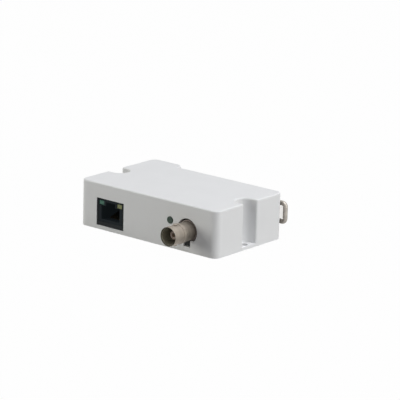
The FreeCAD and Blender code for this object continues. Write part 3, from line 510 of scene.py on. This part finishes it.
barrel = turning([
    (0.0, RIM_INNER), (0.0, RIM_OUTER), (RIM_CHAMFER, NOSE), (COLLAR_FRONT, NOSE), (COLLAR_FRONT, COLLAR),
    (COLLAR_BACK, COLLAR), (COLLAR_BACK, GROOVE), (GROOVE_BACK, GROOVE), (GROOVE_BACK, FLANGE),
    (FLANGE_BACK, FLANGE), (FLANGE_BACK, SHANK), (REACH, SHANK), (REACH, SEAT_BORE), (SEAT, SEAT_BORE),
    (SEAT, BORE), (BORE_FLARE, BORE),
], BARREL_EDGE)
for side in (-1, 1):
    length = (PIN_TIP - PIN_ROOT) * MM
    place = Matrix.Translation((axis.x, mouth + PIN_BACK * MM, axis.z + side * (PIN_TIP * MM - length / 2)))
    pin = bmesh.ops.create_cone(barrel, cap_ends=True, segments=40, radius1=PIN_R * MM, radius2=PIN_R * MM,
                                depth=length, matrix=place)
    rim = [edge for edge in {edge for vert in pin["verts"] for edge in vert.link_edges}
           if all(abs(vert.co.z - axis.z) > (PIN_TIP - 0.01) * MM for vert in edge.verts)]
    round_edges(barrel, rim, PIN_EDGE, 3)
nickel = plating("nickel", (0.325, 0.288, 0.247), (0.265, 0.237, 0.205), 0.58, 0.0002, (0.1, 1.0, 0.1))
# Painted shade: everything nearer the axis than the nose's outside is painted nearly black, that is the rim,
# the flare of the mouth and the groove behind the collar.
ring_colour(nickel, NOSE - 0.06, (0.05, 0.045, 0.034))
# Painted light: the bore and the seat inside it are painted lighter than the outside.
ring_colour(nickel, BORE + 0.04, (0.36, 0.345, 0.28))
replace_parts(piece("coax_barrel", barrel, nickel), "bnc_shell")

# Washer round the barrel in the case's hole: stamped from brass and plated, its colour painted dark as
# painted shade for the shadow in the hole, and flat at the bottom as the hole is.
WASHER_INNER = 4.86
WASHER_OUTER = 5.45
WASHER_FRONT = 14.9
WASHER_BACK = 16.3
WASHER_FLAT = 4.45
WASHER_EDGE = 0.15
washer = turning([
    (WASHER_FRONT, WASHER_INNER), (WASHER_FRONT, WASHER_OUTER), (WASHER_BACK, WASHER_OUTER),
    (WASHER_BACK, WASHER_INNER),
], WASHER_EDGE)
split(washer, (0.0, 0.0, axis.z - WASHER_FLAT * MM), (0.0, 0.0, -1.0), drop=True)
bmesh.ops.holes_fill(washer, edges=[edge for edge in washer.edges if edge.is_boundary])
# Painted shade: the washer's nickel is painted dark for the shadow in the hole round the barrel.
nickel_painted_dark = plating("nickel_painted_dark", (0.20, 0.172, 0.155), (0.15, 0.13, 0.118), 0.58, 0.0002)
piece("coax_washer", washer, nickel_painted_dark)

# Insulator inside the barrel: turned from a cream plastic rod, its front end slightly rounded, with a
# gold-plated slit socket for the plug's pin set back in it.
INSULATOR_FRONT = 4.0
INSULATOR_NOSE = 2.1
INSULATOR_R = 3.37
INSULATOR_EDGE = 0.12
SOCKET_R = 0.98
SOCKET_BACK = 11.23
SOCKET_TAIL = 0.53
insulator = turning([
    (INSULATOR_FRONT, SOCKET_R), (INSULATOR_FRONT, INSULATOR_NOSE), (SEAT, INSULATOR_NOSE),
    (SEAT, INSULATOR_R), (REACH, INSULATOR_R), (REACH, SOCKET_TAIL), (SOCKET_BACK, SOCKET_TAIL),
    (SOCKET_BACK, SOCKET_R),
], INSULATOR_EDGE)
cream = moulding("insulator_cream", (0.40, 0.31, 0.27), (0.34, 0.26, 0.23), 0.5, 0.0003, 0.00001)
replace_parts(piece("coax_insulator", insulator, cream), "bnc_insulator")
dress("bnc_centre_contact", plating("socket_gold", (0.34, 0.23, 0.09), (0.28, 0.19, 0.075), 0.4, 0.001))

# Connector block: black moulding behind the front wall that carries the barrel and stands on the
# board on two pegs. Its key stands in the slot below the case's hole and keeps the block from turning.
base_black = moulding("base_black", (0.006, 0.006, 0.006), (0.010, 0.010, 0.010), 0.6, 0.0004, 0.00002)
set_gloss(base_black, 0.15)
dress("bnc_base", base_black)
KEY_LEFT = -0.9
KEY_RIGHT = 2.1
KEY_LOW = -7.3
KEY_HIGH = -5.0
KEY_REACH = 1.9
KEY_EDGE = 0.15
block_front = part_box("bnc_base")[0].y
key = bmesh.new()
bmesh.ops.create_cube(key, size=MM)
bmesh.ops.scale(key, vec=(KEY_RIGHT - KEY_LEFT, KEY_REACH, KEY_HIGH - KEY_LOW), verts=key.verts)
bmesh.ops.translate(key, verts=key.verts, vec=(
    axis.x + (KEY_LEFT + KEY_RIGHT) / 2 * MM, block_front - KEY_REACH / 2 * MM,
    axis.z + (KEY_LOW + KEY_HIGH) / 2 * MM))
round_edges(key, key.edges[:], KEY_EDGE)
piece("coax_key", key, base_black)

# Status light: a clear light pipe, tinted dark green, that brings the lamp's light from the board to
# the round hole in the front. The lamp is a small ceramic chip soldered to the board.
dress("status_light_pipe", lens("pipe_green", (0.055, 0.085, 0.066), (0.030, 0.052, 0.040), 0.3, 0.2))
ceramic = moulding("ceramic", (0.42, 0.34, 0.24), (0.34, 0.27, 0.19), 0.5, 0.0003, 0.00001)
dress("status_led", ceramic)

# Circuit board: glass-fibre laminate, drilled and printed with black solder resist, and its laminate edges
# are painted black as well: painted shade where the board shows through the front openings. It stands on the
# bottom cover's posts, and four screws hold it.
resist_black_and_painted_shade = moulding("resist_black_and_painted_shade", (0.01, 0.013, 0.012), (0.016, 0.019, 0.018), 0.35, 0.0006, 0.00001)
dress("circuit_board", resist_black_and_painted_shade)

# Chips, diodes, resistors and the jack's transformer: parts moulded in dull black resin and soldered
# flat to the board.
chip_black = moulding("chip_black", (0.02, 0.02, 0.021), (0.028, 0.028, 0.03), 0.6, 0.0002, 0.00001)
for node in ("lan_transformer", "ethernet_chip", "modem_chip", "memory_chip", "power_chip", "power_diodes",
             "chip_resistors"):
    dress(node, chip_black)

# Line transformer and chokes: wound on cores of ferrite, which is pressed from powder and fired to a
# dark grey.
ferrite = moulding("ferrite", (0.03, 0.03, 0.033), (0.045, 0.045, 0.05), 0.5, 0.0004, 0.00002)
dress("line_transformer", ferrite)
dress("power_inductors", ferrite)

# Crystal and electrolytic capacitors: each closed in a can that is drawn from sheet metal, with faint
# marks along its height.
drawn_can = plating("drawn_can", (0.72, 0.72, 0.74), (0.62, 0.62, 0.64), 0.32, 0.0003, (1.0, 1.0, 0.1))
dress("crystal", drawn_can)
dress("electrolytic_capacitors", drawn_can)

# Surge arrester and chip capacitors: small fired ceramic bodies between metal ends, soldered to the
# board.
dress("surge_arrester", ceramic)
dress("chip_capacitors", ceramic)

# Wire loop behind the rear wall: bent from round steel wire and dull plated, with its two legs pushed
# into sleeves in the wall.
loop_steel = plating("loop_steel", (0.39, 0.36, 0.325), (0.32, 0.295, 0.268), 0.5, 0.0003)
dress("rear_loop", loop_steel)

# Insert inside the wire loop: a block moulded from milky plastic, with a peg that is pushed into the
# rear wall. Light passes through it, so it looks pale although the wire shades it.
milky = moulding("milky_plastic", (0.91, 0.89, 0.87), (0.88, 0.86, 0.84), 0.2, 0.0004, 0.00001)
milky_shader = milky.node_tree.nodes["Principled BSDF"]
milky_shader.inputs["Transmission Weight"].default_value = 0.95
milky_shader.inputs["IOR"].default_value = 1.15
dress("loop_insert", milky)
